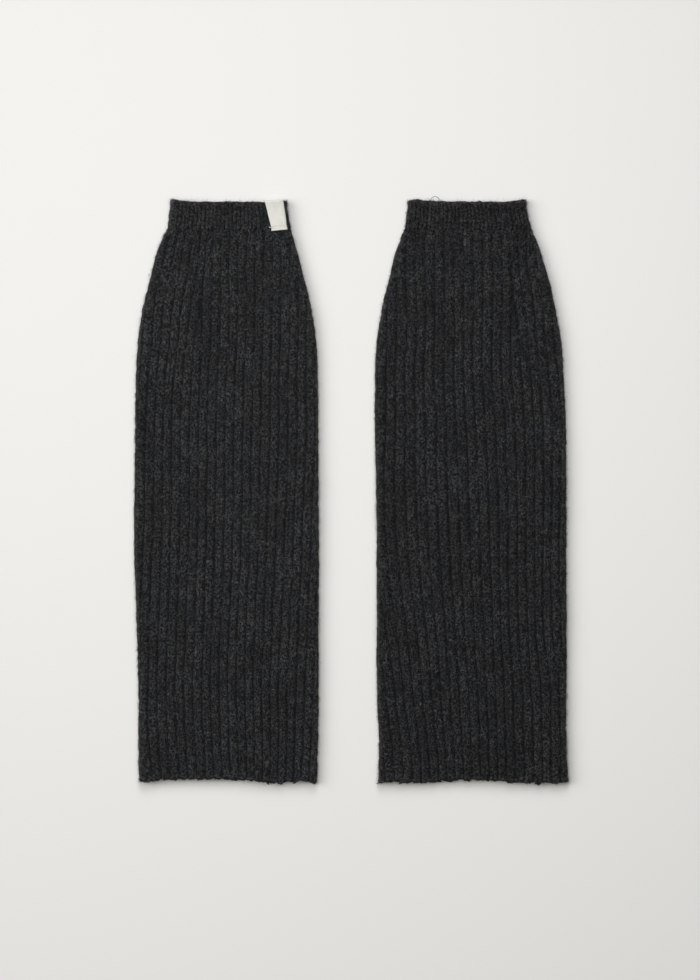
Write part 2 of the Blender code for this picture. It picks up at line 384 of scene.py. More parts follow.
def knit_mesh(name, tube, columns, rows, arcs, shares, wall, rims, valleys, openness, seed):
    """A closed shell: stitches outside, a plain face inside, and rims that stand out at both ends.

    Here and there a valley is partly closed, by up to valleys, and more often where openness is low.
    """
    chance = np.random.default_rng(seed)
    count = len(columns)
    row_count = len(rows)
    profile = [point for _, point, _ in columns]
    phases = np.array([point.phase for point in profile])
    valley = profile[0]
    height = valley.height + (np.array([p.height for p in profile]) - valley.height) * shares
    lift = valley.lift + (np.array([p.lift for p in profile]) - valley.lift) * shares
    belly = np.array([p.belly for p in profile]) * shares
    down = rows[:, None] + np.zeros((1, count))
    from_end = np.minimum(rows - rows[0], rows[-1] - rows)[:, None]
    settled = ease(from_end / BOUND_REACH)
    stitch = np.repeat(chance.normal(0.0, 1.0, (row_count // 2 + 1, count)), 2, axis=0)[:row_count]
    bulge = np.where(np.arange(row_count) % 2 == 1, 0.0, -1.0)[:, None] * belly * BELLY
    bulge = bulge + stitch * belly * STITCH_UNEVENNESS
    bulge = bulge + RIB_UNEVENNESS * uneven(arcs, down, RIB_PATCH, seed + 1)
    closed = uneven(arcs, down, VALLEY_PATCH, seed + 2)
    bulge = bulge + np.clip(closed - openness, 0.0, 1.0) * valleys * (phases == 0.0)
    heights = height * MM + bulge
    outer, outwards = tube.place(arcs, down - lift * V_LIFT * settled, heights)
    outer[..., 2] = np.maximum(outer[..., 2], ON_FLOOR)
    vertices = [outer.reshape(-1, 3)]
    # Painted shade: the depth below the rib's crest darkens the wool's colour
    painted_shade_depth = [np.clip(-heights / MM, 0.0, MOST_SHADE_DEPTH).reshape(-1)]
    # Painted sheen: how far the face turns sideways, to lighten the wool on the folds
    painted_sheen_turn = [np.abs(outwards[..., 0]).reshape(-1)]

    lining = [j for j in range(count) if columns[j][1].phase in (0.0, 0.5)]
    inner_downs = np.linspace(rows[-1], rows[0], LINING_ROWS)
    inner_rows = [(rows[-1] + rims[1], -wall / 2.0)]
    inner_rows += [(d, -wall) for d in inner_downs]
    inner_rows += [(rows[0] - rims[0], -wall / 2.0)]
    for d, h in inner_rows:
        i = int(np.argmin(np.abs(rows - d)))
        points, _ = tube.place(arcs[i][lining], np.full(len(lining), d), h)
        vertices.append(points)
        # Painted shade at the rims, and more of it on the lining inside
        painted_shade_depth.append(np.full(len(lining), RIM_SHADE_DEPTH if h > -wall else LINING_SHADE_DEPTH))
        painted_sheen_turn.append(np.zeros(len(lining)))

    faces = []
    for j in range(count):
        k = (j + 1) % count
        if columns[j][2]:
            faces += [
                (i * count + j, (i + 1) * count + j, (i + 1) * count + k, i * count + k)
                for i in range(row_count - 1)
            ]
            continue
        left_rows = 1 if columns[j - 1][2] else COARSE_ROWS
        right_rows = 1 if columns[k][2] else COARSE_ROWS
        for i in range(0, row_count - 1, COARSE_ROWS):
            left_side = [m * count + j for m in range(i, i + COARSE_ROWS + 1, left_rows)]
            right_side = [m * count + k for m in range(i + COARSE_ROWS, i - 1, -right_rows)]
            faces.append(tuple(left_side + right_side))
    base = row_count * count
    ring = len(lining)
    for r in range(len(inner_rows) - 1):
        for a in range(ring):
            b = (a + 1) % ring
            low = base + r * ring
            faces.append((low + a, low + ring + a, low + ring + b, low + b))
    for a in range(ring):
        b = (a + 1) % ring
        stop = lining[b] if lining[b] > lining[a] else lining[b] + count
        over = [j % count for j in range(lining[a], stop + 1)]
        bottom = [(row_count - 1) * count + j for j in reversed(over)]
        faces.append(tuple(bottom + [base + a, base + b]))
        last = base + (len(inner_rows) - 1) * ring
        faces.append(tuple(over + [last + b, last + a]))

    mesh = bpy.data.meshes.new(name)
    mesh.from_pydata(np.concatenate(vertices), [], faces)
    for attribute, values in (("painted_shade_depth", painted_shade_depth), ("painted_sheen_turn", painted_sheen_turn)):
        layer = mesh.attributes.new(attribute, "FLOAT", "POINT")
        layer.data.foreach_set("value", np.concatenate(values).astype(np.float32))
    builder = bmesh.new()
    builder.from_mesh(mesh)
    bmesh.ops.delete(builder, geom=[v for v in builder.verts if not v.link_faces], context="VERTS")
    for face in builder.faces:
        face.smooth = True
    builder.to_mesh(mesh)
    builder.free()
    return put(name, mesh)


def body_arcs(tube, columns, rows, side):
    """How far round the tube each column of the mesh lies at each row, and each rib's share there."""
    first = columns[0][0]
    widths = np.ones((len(rows), BODY_RIBS))
    decreases = {}
    for name in ("before", "after", "back"):
        decreases[name] = smooth_column(DECREASES[side], name, rows)
    back_line = BODY_RIBS // 2
    for line, before, after in ((0, "before", "after"), (back_line, "back", "back")):
        for nth in range(4):
            gone = np.clip(decreases[before] - nth, 0.0, 1.0 - LEAST_SHARE)
            widths[:, (line - 1 - nth - first) % BODY_RIBS] = 1.0 - gone
            gone = np.clip(decreases[after] - nth, 0.0, 1.0 - LEAST_SHARE)
            widths[:, (line + nth - first) % BODY_RIBS] = 1.0 - gone
    passed = np.concatenate([np.zeros((len(rows), 1)), np.cumsum(widths, axis=1)], axis=1)
    passed = passed - passed[:, [int(-first)]]
    ribs = np.array([rib for rib, _, _ in columns])
    phases = np.array([point.phase for _, point, _ in columns])
    girth = tube.girth(rows)
    pitch = girth / widths.sum(axis=1)
    share = widths[:, ribs - first]
    count = passed[:, ribs - first] + phases * share
    front = girth / 2.0 - 2.0 * tube.fold_radius
    line = tube.fold_radius + smooth_column(FLOWS[side], "line", rows) * front
    arcs = line[:, None] + pitch[:, None] * count
    spread = smooth_column(FLOWS[side], "spread", rows) * MM
    around = 2.0 * math.pi / girth
    bow = smooth_column(FLOWS[side], "bow", rows) * MM
    pull = np.cos(arcs * around[:, None]) - np.cos(line * around)[:, None]
    push = np.sin(arcs * around[:, None]) - np.sin(line * around)[:, None]
    arcs = arcs - spread[:, None] * pull + bow[:, None] * push
    run = (ribs + phases)[None, :]
    arcs = arcs + WANDER * uneven(run, rows[:, None], WANDER_PATCH, WANDER_SEEDS[side]) * share
    arcs = arcs + JOSTLE * uneven(run, rows[:, None], JOSTLE_PATCH, JOSTLE_SEEDS[side]) * share
    return arcs, ease(share)


# Layers of colour in the wool, each laid over those before it: noise with so many patches a metre,
# stretched along the stitches. As the noise goes from low to high, the share of the layer's tint goes
# from least to most; the tint is a multiple of the wool's colour, or None for the pale fibres'.
Layer = namedtuple("Layer", "patches stretch detail roughness low high least most tint")
CORE = 0.22
MELANGE = Layer(870.0, (0.85, 0.68, 1.0), 2.0, 0.6, low=0.44, high=0.57, least=0.0, most=1.0, tint=1.95)
STRANDS = Layer(2300.0, (1.0, 0.4, 1.0), 2.0, 0.6, low=0.40, high=0.60, least=0.0, most=0.20, tint=CORE)
FLECKS = Layer(780.0, (0.85, 0.6, 1.0), 2.0, 0.7, low=0.612, high=0.69, least=0.0, most=0.95, tint=None)
PITS = Layer(680.0, (0.80, 0.70, 1.0), 2.0, 0.6, low=0.36, high=0.43, least=0.88, most=0.0, tint=0.08)
MOTTLE = Layer(310.0, (0.9, 0.6, 1.0), 1.0, 0.6, low=0.40, high=0.60, least=0.0, most=0.44, tint=CORE)
CLOUDS = Layer(80.0, (1.0, 0.7, 1.0), 3.0, 0.6, low=0.35, high=0.65, least=0.0, most=0.44, tint=CORE)
PALE_FIBRE = (0.098, 0.102, 0.106)
# What multiplies the colour: a dye that took unevenly, and a painted sheen that lightens the wool where a
# fold turns away
DYE = Layer(65.0, (1.0, 0.8, 1.0), 1.0, 0.6, low=0.40, high=0.60, least=0.0, most=1.0, tint=None)
BLUER_DYE = (0.98, 0.995, 1.035)
WARMER_DYE = (1.015, 1.005, 0.965)
# Painted sheen on the folds, as a multiple of the wool's colour
PAINTED_FOLD_SHEEN = (1.50, 1.48, 1.40)
# The painted shade down between the ribs, as a multiple of the wool's colour
PAINTED_VALLEY_SHADE = 0.2


class Wiring:
    """A new material whose nodes, made and linked one after another, lead to its shader."""

    def __init__(self, name, **values):
        self.material = bpy.data.materials.new(name)
        self.material.use_nodes = True
        self.nodes = self.material.node_tree.nodes
        self.shader = self.nodes["Principled BSDF"]
        for socket, value in values.items():
            self.shader.inputs[socket.replace("_", " ")].default_value = value
        self.place = self.nodes.new("ShaderNodeTexCoord").outputs["Object"]

    def feed(self, value, socket):
        """Sets a socket to a colour or a number, or links it to another node's output."""
        if isinstance(value, tuple):
            socket.default_value = (*value, 1.0)
        elif isinstance(value, float):
            socket.default_value = value
        else:
            self.material.node_tree.links.new(value, socket)

    def noise(self, patches, stretch, detail, roughness):
        mapping = self.nodes.new("ShaderNodeMapping")
        mapping.inputs["Scale"].default_value = stretch
        self.feed(self.place, mapping.inputs["Vector"])
        texture = self.nodes.new("ShaderNodeTexNoise")
        self.feed(patches, texture.inputs["Scale"])
        self.feed(detail, texture.inputs["Detail"])
        self.feed(roughness, texture.inputs["Roughness"])
        self.feed(mapping.outputs["Vector"], texture.inputs["Vector"])
        return texture.outputs["Fac"]

    def attribute(self, name):
        node = self.nodes.new("ShaderNodeAttribute")
        node.attribute_name = name
        return node.outputs["Fac"]

    def ramp(self, value, low, high, least, most, way="SMOOTHSTEP"):
        node = self.nodes.new("ShaderNodeMapRange")
        node.interpolation_type = way
        self.feed(value, node.inputs["Value"])
        self.feed(low, node.inputs["From Min"])
        self.feed(high, node.inputs["From Max"])
        self.feed(least, node.inputs["To Min"])
        self.feed(most, node.inputs["To Max"])
        return node.outputs["Result"]

    def share(self, layer):
        grain = self.noise(layer.patches, layer.stretch, layer.detail, layer.roughness)
        return self.ramp(grain, layer.low, layer.high, layer.least, layer.most)

    def blend(self, factor, first, second, way="MIX"):
        node = self.nodes.new("ShaderNodeMix")
        node.data_type = "RGBA"
        node.blend_type = way
        self.feed(factor, node.inputs[0])
        self.feed(first, node.inputs[6])
        self.feed(second, node.inputs[7])
        return node.outputs[2]

    def finish(self, colour, relief=None, strength=0.0, distance=0.0):
        """Gives the shader its colour, and small relief as bumps this deep."""
        self.feed(colour, self.shader.inputs["Base Color"])
        if relief is not None:
            node = self.nodes.new("ShaderNodeBump")
            self.feed(strength, node.inputs["Strength"])
            self.feed(distance, node.inputs["Distance"])
            self.feed(relief, node.inputs["Height"])
            self.feed(node.outputs["Normal"], self.shader.inputs["Normal"])
        return self.material


def wool(name, colour):
    """Brushed melange wool: dark and light fibres spun together, with painted shade down between the ribs
    and a painted sheen on the folds.
    """
    yarn = Wiring(
        name, Roughness=0.55, Specular_IOR_Level=0.06, Sheen_Weight=0.08, Sheen_Roughness=0.35
    )
    spun = tuple(CORE * c for c in colour)
    for layer in (MELANGE, STRANDS, FLECKS, PITS, MOTTLE, CLOUDS):
        tint = PALE_FIBRE if layer.tint is None else tuple(layer.tint * c for c in colour)
        spun = yarn.blend(yarn.share(layer), spun, tint)
    # Painted shade: darker down between the ribs, by the depth below the crest
    valley_shade_share = yarn.ramp(yarn.attribute("painted_shade_depth"), low=0.30, high=1.2, least=0.0, most=0.9)
    spun = yarn.blend(valley_shade_share, spun, tuple(PAINTED_VALLEY_SHADE * c for c in colour))
    dye = yarn.blend(yarn.share(DYE), BLUER_DYE, WARMER_DYE)
    spun = yarn.blend(1.0, spun, dye, "MULTIPLY")
    # Painted sheen: lighter where the face turns away at the side folds
    sheen_share = yarn.ramp(yarn.attribute("painted_sheen_turn"), low=0.05, high=0.60, least=0.0, most=1.0)
    painted_sheen = yarn.blend(sheen_share, (1.0, 1.0, 1.0), PAINTED_FOLD_SHEEN)
    spun = yarn.blend(1.0, spun, painted_sheen, "MULTIPLY")
    fibres = yarn.noise(1900.0, (1.0, 0.5, 1.0), detail=4.0, roughness=0.7)
    return yarn.finish(spun, fibres, strength=0.7, distance=0.5 * MM)


# The right leg warmer is the darker one
CHARCOAL = (0.0271, 0.0292, 0.0311)
RIGHT_SHADE = 0.89
rib_wools = {
    "left": wool("charcoal_rib_wool", CHARCOAL),
    "right": wool("dark_charcoal_rib_wool", tuple(RIGHT_SHADE * c for c in CHARCOAL)),
}

bodies = {}
for side, seed in (("left", 21), ("right", 22)):
    tube = Tube(side, "body", "bottom")
    columns, rows = knit_grid(tube, TWO_BY_TWO, BODY_RIBS, -BODY_RIBS // 2, SHOWN_RIBS[side], COURSE)
    arcs, shares = body_arcs(tube, columns, rows, side)
    phases = np.array([point.phase for _, point, _ in columns])
    hem = arcs[-1]
    rough = LEAST_ROUGH + MORE_ROUGH * ease(HALF_WAY + uneven(hem, HALF_WAY, ROUGH_PATCH, seed + 3))
    tube.wave_arcs = hem
    tube.wave_rises = HEM_TUCK + HEM_WAVE * np.cos(2.0 * math.pi * phases)
    tube.wave_rises += HEM_UNEVENNESS * rough * uneven(hem, HALF_WAY, HEM_PATCH, seed)
    openness = np.interp((rows - rows[0]) / (rows[-1] - rows[0]), SHARE_DOWN, OPENNESS)[:, None]
    knit = (f"{side}_body_knit", tube, columns, rows, arcs, shares)
    body = knit_mesh(*knit, BODY_WALL, (SEAM_RIM, HEM_RIM), VALLEY_UNEVENNESS, openness, seed)
    body.data.materials.append(rib_wools[side])
    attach(body, "root")
    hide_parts(f"{side}_body")
    girths = tube.girth(rows)
    bodies[side] = (tube, columns, arcs)

# ---------------------------------------------------------------------------------------------
# Hems of the bodies: the cast-on row of the same wool, short tight loops all round the open end,
# three deep at each column of knit stitches, so that the edge is lightly beaded.

# Sizes of a loop in mm, from_edge counted outwards, and its slant in degrees
Loop = namedtuple("Loop", "from_edge height length thickness slant")
HEM_LOOPS = (
    Loop(-1.4, -0.75, 3.7, 1.35, 24.0),
    Loop(-0.4, -1.30, 3.9, 1.45, -18.0),
    Loop(-1.0, -2.25, 3.7, 1.20, 15.0),
)
# Loops that turn round a side fold lie this much deeper in it
SUNK_AT_FOLDS = 0.5 * MM
# How much loops differ: place and height in mm, slant in degrees, length and thickness as a share
PLACE_SPREAD = 0.12
HEIGHT_SPREAD = 0.08
SLANT_SPREAD = 6.0
SIZE_SPREAD = 0.06
# A loop's mesh: rings from one tip to the other, the end rings close to the tips
LOOP_RINGS = 5
LOOP_SIDES = 6
LAST_RING = 0.86
LOOP_BOW = 0.12
HEM_SEED = 31


def loop_chain(name, tube, arcs, edge, outward, loops, material, seed):
    """Short yarn loops laid along a tube's edge, at these arcs; outward is +1 where down leaves it."""
    chance = np.random.default_rng(seed)
    step = 0.3 * MM
    builder = bmesh.new()
    for arc in arcs:
        for loop in loops:
            down = edge + outward * (loop.from_edge + chance.normal(0.0, PLACE_SPREAD)) * MM
            height = (loop.height + chance.normal(0.0, HEIGHT_SPREAD)) * MM
            at = np.array([arc, arc + step, arc])
            downs = np.array([down, down, down + step])
            points, outs = tube.place(at, downs, np.full(3, height))
            centre = Vector(points[0])
            round_way = (Vector(points[1]) - centre).normalized()
            down_way = (Vector(points[2]) - centre).normalized()
            out_way = Vector(outs[0])
            centre -= out_way * abs(out_way.x) * SUNK_AT_FOLDS
            slant = math.radians(loop.slant + chance.normal(0.0, SLANT_SPREAD)) * outward
            along = round_way * math.cos(slant) + down_way * math.sin(slant)
            aside = out_way.cross(along).normalized()
            half = loop.length * MM / 2.0 * (1.0 + chance.normal(0.0, SIZE_SPREAD))
            thick = loop.thickness * MM / 2.0 * (1.0 + chance.normal(0.0, SIZE_SPREAD))
            verts = []
            for r in range(LOOP_RINGS):
                t = -LAST_RING + 2.0 * LAST_RING * r / (LOOP_RINGS - 1)
                radius = thick * math.sqrt(1.0 - t * t)
                bow = LOOP_BOW * half * (1.0 - t * t)
                for k in range(LOOP_SIDES):
                    turn = 2.0 * math.pi * k / LOOP_SIDES
                    offset = aside * (radius * math.cos(turn)) + out_way * (radius * math.sin(turn) + bow)
                    point = centre + along * (half * t) + offset
                    point.z = max(point.z, ON_FLOOR)
                    verts.append(builder.verts.new(point))
            tips = []
            for t in (-1.0, 1.0):
                point = centre + along * (half * t)
                point.z = max(point.z, ON_FLOOR)
                tips.append(builder.verts.new(point))
            last = (LOOP_RINGS - 1) * LOOP_SIDES
            for k in range(LOOP_SIDES):
                m = (k + 1) % LOOP_SIDES
                for r in range(LOOP_RINGS - 1):
                    a = r * LOOP_SIDES
                    b = a + LOOP_SIDES
                    builder.faces.new((verts[a + k], verts[a + m], verts[b + m], verts[b + k]))
                builder.faces.new((tips[0], verts[m], verts[k]))
                builder.faces.new((tips[1], verts[last + k], verts[last + m]))
    for face in builder.faces:
        face.smooth = True
    mesh = bpy.data.meshes.new(name)
    bmesh.ops.recalc_face_normals(builder, faces=builder.faces)
    builder.to_mesh(mesh)
    builder.free()
    mesh.materials.append(material)
    piece = put(name, mesh)
    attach(piece, "root")
    return piece


edge_wool = wool("charcoal_edge_wool", (0.0330, 0.0330, 0.0315))
for side, (tube, columns, arcs) in bodies.items():
    stitches = [j for j, (_, point, _) in enumerate(columns) if point.phase in (0.29, 0.71)]
    at = (arcs[-1, stitches], tube.end, 1.0)
    hem = loop_chain(f"{side}_hem_edge", tube, *at, HEM_LOOPS, edge_wool, HEM_SEED)

# ---------------------------------------------------------------------------------------------
# Cuffs: a short, tighter tube of 1x1 rib at the top of each leg, knitted on from the body in the
# same wool on finer needles, and bound off with a chain that rolls a little over the edge.

CUFF_WALL = 2.2 * MM
CUFF_RIBS = 64
CUFF_COURSE = 1.95 * MM
ONE_BY_ONE = (
    RibPoint(0.00, -1.10, 1.0, 0.1),
    RibPoint(0.13, -0.62, 0.9, 0.3),
    RibPoint(0.26, -0.06, 0.7, 1.0),
    RibPoint(0.50, -0.20, 0.0, 0.4),
    RibPoint(0.74, -0.06, 0.7, 1.0),
    RibPoint(0.87, -0.62, 0.9, 0.3),
)
CUFF_VALLEYS = 0.9 * MM
CUFF_OPENNESS = {"left": 0.25, "right": 0.6}
# How far ribs stray from their run, patches across counted in ribs
CUFF_WANDER = 0.35 * MM
CUFF_PATCH = Patch(across=2.0, along=9.0 * MM, start=0.0)
# The bound edge: drawn in a little, waved by the ribs, and uneven
TOP_RIM = 0.1 * MM
TOP_TUCK = 0.4 * MM
TOP_WAVE = 0.2 * MM
TOP_UNEVENNESS = 0.6 * MM
TOP_PATCH = Patch(across=4.0 * MM, along=1.0, start=30.0)
BIND_OFF_LOOPS = (
    Loop(-4.6, -0.45, 2.5, 0.95, 52.0),
    Loop(-3.2, -0.25, 2.9, 1.00, -40.0),
    Loop(-1.8, -0.30, 3.3, 1.10, 28.0),
    Loop(-0.8, -0.80, 3.5, 1.20, -14.0),
    Loop(-1.0, -1.75, 3.5, 1.20, 12.0),
)
# The stretch of the left cuff's edge under the label, from the leg's middle line: no loops there
LABEL_COVERS = (28.4 * MM, 43.0 * MM)
# Where the bound edge of a cuff stands up or sinks, in mm from the cuff's left side
EdgeLift = namedtuple("EdgeLift", "from_left reach height")
EDGE_LIFTS = {
    "left": (
        EdgeLift(2.0, 3.0, 0.3),
        EdgeLift(15.0, 6.0, -0.35),
    ),
    "right": (
        EdgeLift(0.5, 2.5, -0.6),
        EdgeLift(8.0, 3.2, 1.0),
        EdgeLift(72.0, 9.0, -0.6),
    ),
}

cuffs = {}
for side, seed in (("left", 51), ("right", 52)):
    tube = Tube(side, "cuff", "top")
    columns, rows = knit_grid(tube, ONE_BY_ONE, CUFF_RIBS, 0, (0, CUFF_RIBS), CUFF_COURSE)
    counts = np.array([rib + point.phase for rib, point, _ in columns])
    arcs = tube.girth(rows)[:, None] * counts[None, :] / CUFF_RIBS
    arcs = arcs + CUFF_WANDER * uneven(counts[None, :], rows[:, None], CUFF_PATCH, seed)
    phases = np.array([point.phase for _, point, _ in columns])
    top = arcs[0]
    tube.wave_arcs = top
    tube.wave_rises = -TOP_TUCK - TOP_WAVE * np.cos(2.0 * math.pi * phases)
    tube.wave_rises += TOP_UNEVENNESS * uneven(top, HALF_WAY, TOP_PATCH, seed)
    on_top, _ = tube.place(top, np.full(len(top), tube.start), 0.0)
    from_left = (on_top[:, 0] - tube.left[-1]) / MM
    for lift in EDGE_LIFTS[side]:
        away = ((from_left - lift.from_left) / lift.reach) ** 2
        tube.wave_rises += lift.height * MM * np.exp(-away)
    knit = (f"{side}_cuff_knit", tube, columns, rows, arcs, np.ones_like(arcs))
    cuff = knit_mesh(*knit, CUFF_WALL, (TOP_RIM, SEAM_RIM), CUFF_VALLEYS, CUFF_OPENNESS[side], seed)
    cuff.data.materials.append(rib_wools[side])
    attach(cuff, "root")
    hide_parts(f"{side}_cuff")
    chain = top[phases == 0.5]
    if side == "left":
        left_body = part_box("left_body")
        middle = (left_body[0][0] + left_body[1][0]) / 2.0
        on_top, _ = tube.place(chain, np.full(len(chain), tube.start), 0.0)
        across = on_top[:, 0] - middle
        chain = chain[(across < LABEL_COVERS[0]) | (across > LABEL_COVERS[1])]
    at = (chain, tube.start, -1.0)
    edge = loop_chain(f"{side}_bind_off", tube, *at, BIND_OFF_LOOPS, edge_wool, seed + 2)
    girths = tube.girth(rows)
    cuffs[side] = tube

# ---------------------------------------------------------------------------------------------
# Label: a bare off-white woven tape, folded over the edge of the left cuff and stitched through
# near its cut end, where one end of the white sewing thread sticks out.

TAPE_THICKNESS = 0.45 * MM
TAPE_WIDTH = 13.5
ABOVE_CLOTH = 0.35 * MM
# The tape's two sides down the front, in mm from the leg's middle line
LabelRow = namedtuple("LabelRow", "down left right")
LABEL_ROWS = (
    LabelRow(-0.4, 27.9, 41.7),
    LabelRow(4.0, 28.9, 42.3),
    LabelRow(10.0, 30.2, 43.1),
    LabelRow(16.0, 31.6, 43.9),
    LabelRow(19.8, 32.5, 44.2),
    LabelRow(21.2, 32.7, 44.7),
    LabelRow(22.8, 32.8, 44.9),
)
MIDDLE_TO_BOX = 45.6 * MM
# How much lower the tape's left corner is than its right one, less so near the cuff's edge
LABEL_SLANT = 1.1 * MM
LEAST_SLANT = 0.3
LABEL_END = 22.8 * MM
# Rows of the mesh: up the front from its cut end, in mm, round the cuff's edge, and down inside it
FRONT_ROWS = 47
FRONT_STEP = 0.5
FIRST_ROW = 23.0
FOLD_ROWS = 12
HIDDEN_ROWS = 5
HIDDEN_STEP = (0.4 * MM, 1.2 * MM)
FOLD_SHARE = 0.75
STEPS_ACROSS = 20
# The two lines of stitches, in mm down, press the tape in
STITCH_LINES = (19.9, 21.2)
STITCH_DENT = 0.30 * MM
STITCH_REACH = 0.40
STITCH_COUNT = 7
# Soft creases, in mm, but across as a share of the width and angle in degrees
CREASE_WIDTH = 0.7
TAPE_BOW = 0.12 * MM
Crease = namedtuple("Crease", "across down angle length height")
LABEL_CREASES = (
    Crease(0.80, 13.0, 62.0, 9.0, 0.26),
    Crease(0.66, 16.0, 58.0, 8.0, -0.22),
    Crease(0.30, 5.0, 100.0, 8.0, 0.16),
)
# Scales of the weave's two waves, and how grey its gaps are
WARP = 250.0
WEFT = 1300.0 / 6.0
GAP_SHADE = 0.86


def woven_tape(name, colour):
    """Plain-woven cotton: fine warp and weft, a little grey in the gaps."""
    cotton = Wiring(name, Roughness=0.75, Sheen_Weight=0.1)
    weave = cotton.nodes.new("ShaderNodeMath")
    weave.operation = "MULTIPLY"
    for socket, (direction, scale) in zip(weave.inputs, (("X", WARP), ("Y", WEFT))):
        wave = cotton.nodes.new("ShaderNodeTexWave")
        wave.bands_direction = direction
        cotton.feed(scale, wave.inputs["Scale"])
        cotton.feed(0.6, wave.inputs["Distortion"])
        cotton.feed(cotton.place, wave.inputs["Vector"])
        cotton.feed(wave.outputs["Fac"], socket)
    woven = cotton.blend(weave.outputs[0], tuple(GAP_SHADE * c for c in colour), colour)
    return cotton.finish(woven, weave.outputs[0], strength=0.35, distance=0.1 * MM)


tube = cuffs["left"]
tape = woven_tape("off_white_woven_tape", (0.750, 0.746, 0.690))
middle_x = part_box("left_label")[1][0] - MIDDLE_TO_BOX


def tape_point(share, down, out):
    """A point of the tape, share of its width from its left side, out of the cuff's face."""
    on_cloth = max(down, LABEL_ROWS[0].down * MM)
    left = smooth_column(LABEL_ROWS, "left", np.array([on_cloth]))[0] * MM
    right = smooth_column(LABEL_ROWS, "right", np.array([on_cloth]))[0] * MM
    x = middle_x + left + (right - left) * share
    slant = np.clip(LEAST_SLANT + (1.0 - LEAST_SLANT) * down / LABEL_END, 0.0, 1.0)
    down = down + LABEL_SLANT * (1.0 - share) * slant
    y = tube.leg_top - on_cloth
    side_x = np.interp(y, tube.y, tube.left)
    arc = tube.fold_radius * (math.pi / 2.0 - 1.0) + (x - side_x)
    point, _ = tube.place(np.array([arc]), np.array([max(down, 0.0)]), np.array([out]))
    point = point[0]
    return Vector((x, point[1] + max(down, 0.0) - down, point[2]))


shares = [j / STEPS_ACROSS for j in range(STEPS_ACROSS + 1)]
builder = bmesh.new()
label_rows = []
for i in range(FRONT_ROWS):
    down = FIRST_ROW - FRONT_STEP * i
    row = []
    for share in shares:
        lift = TAPE_BOW * math.sin(math.pi * share)
        for crease in LABEL_CREASES:
            angle = math.radians(crease.angle)
            dx = (share - crease.across) * TAPE_WIDTH
            dy = down - crease.down
            along = 2.0 * (dx * math.cos(angle) + dy * math.sin(angle)) / crease.length
            off = (-dx * math.sin(angle) + dy * math.cos(angle)) / CREASE_WIDTH
            lift += crease.height * MM * math.exp(-(off**2) - along**2)
        for line in STITCH_LINES:
            lift -= STITCH_DENT * math.exp(-(((down - line) / STITCH_REACH) ** 2))
        row.append(builder.verts.new(tape_point(share, down * MM, ABOVE_CLOTH + lift)))
    label_rows.append(row)
bend = ABOVE_CLOTH + CUFF_WALL / 2.0
for i in range(1, FOLD_ROWS + 1):
    turn = math.pi * i / FOLD_ROWS
    over = Vector((0.0, FOLD_SHARE * bend * math.sin(turn), bend * math.cos(turn) - bend))
    label_rows.append([builder.verts.new(tape_point(share, 0.0, ABOVE_CLOTH) + over) for share in shares])
turned = [vertex.co.copy() for vertex in label_rows[-1]]
for i in range(1, HIDDEN_ROWS + 1):
    inside = Vector((-HIDDEN_STEP[0] * i, -HIDDEN_STEP[1] * i, 0.0))
    label_rows.append([builder.verts.new(point + inside) for point in turned])
for first, second in zip(label_rows, label_rows[1:]):
    for j in range(STEPS_ACROSS):
        face = builder.faces.new((first[j], first[j + 1], second[j + 1], second[j]))
        face.smooth = True
label_mesh = bpy.data.meshes.new("label_tape")
builder.to_mesh(label_mesh)
builder.free()
label = put("label_tape", label_mesh)
label_mesh.materials.append(tape)
wall = label.modifiers.new("thickness", "SOLIDIFY")
wall.thickness = TAPE_THICKNESS
wall.offset = 0.0
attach(label, "root")
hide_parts("left_label")


def threads(name, lines, thickness, material):
    """Lengths of thread or yarn as fine round curves, each through its own points."""
    curve = bpy.data.curves.new(name, "CURVE")
    curve.dimensions = "3D"
    curve.bevel_depth = thickness / 2.0
    curve.bevel_resolution = 1
    curve.use_fill_caps = True
    curve.resolution_u = 6
    for points in lines:
        spline = curve.splines.new("BEZIER")
        spline.bezier_points.add(len(points) - 1)
        for knot, point in zip(spline.bezier_points, points):
            knot.co = point
            knot.handle_left_type = "AUTO"
            knot.handle_right_type = "AUTO"
    curve.materials.append(material)
    piece = put(name, curve)
    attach(piece, "root")
    return piece


# Two lines of stitches through the tape, each stitch's ends pressed in, and the thread's loose end
PRESSED_IN = ABOVE_CLOTH + 0.02 * MM
STITCH_HEIGHT = 0.12 * MM
sewing_thread = woven_tape("off_white_sewing_thread", (0.60, 0.575, 0.53))
stitches = []
for line in STITCH_LINES:
    for i in range(STITCH_COUNT):
        start = tape_point((i + 0.1) / STITCH_COUNT, line * MM, PRESSED_IN)
        stop = tape_point((i + 0.9) / STITCH_COUNT, line * MM, PRESSED_IN)
        stitches.append([start, (start + stop) / 2.0 + Vector((0.0, 0.0, STITCH_HEIGHT)), stop])
threads("label_stitches", stitches, 0.26 * MM, sewing_thread)
root = tape_point(0.05, 20.6 * MM, ABOVE_CLOTH + 0.2 * MM)
loose = [root, root + Vector((-1.3, 0.1, 0.35)) * MM, root + Vector((-2.3, 0.5, 0.2)) * MM]
threads("label_thread_end", [loose], 0.55 * MM, tape)

# ---------------------------------------------------------------------------------------------
# Fuzz: fine wool hairs that stand and curl off the knit all over, dark and pale ones mixed, and
# show as a soft halo along the folds and edges.

# How many hairs, and what shares of them grow along the two side folds and along the open edge
Growth = namedtuple("Growth", "hairs at_folds at_edge")
BODY_GROWTH = Growth(hairs=24500, at_folds=0.24, at_edge=0.03)
CUFF_GROWTH = Growth(hairs=3600, at_folds=0.10, at_edge=0.42)
# The part of a tube's girth that hairs grow on: the front, and a little past both folds
HAIRY_GIRTH = (-0.02, 0.52)
# Hairs at a fold are centred on the front's side of it, and those at an edge lie close to it, in mm
FOLD_CENTRE = 2.9
FOLD_SPREAD = 1.7
EDGE_SPREAD = 1.9
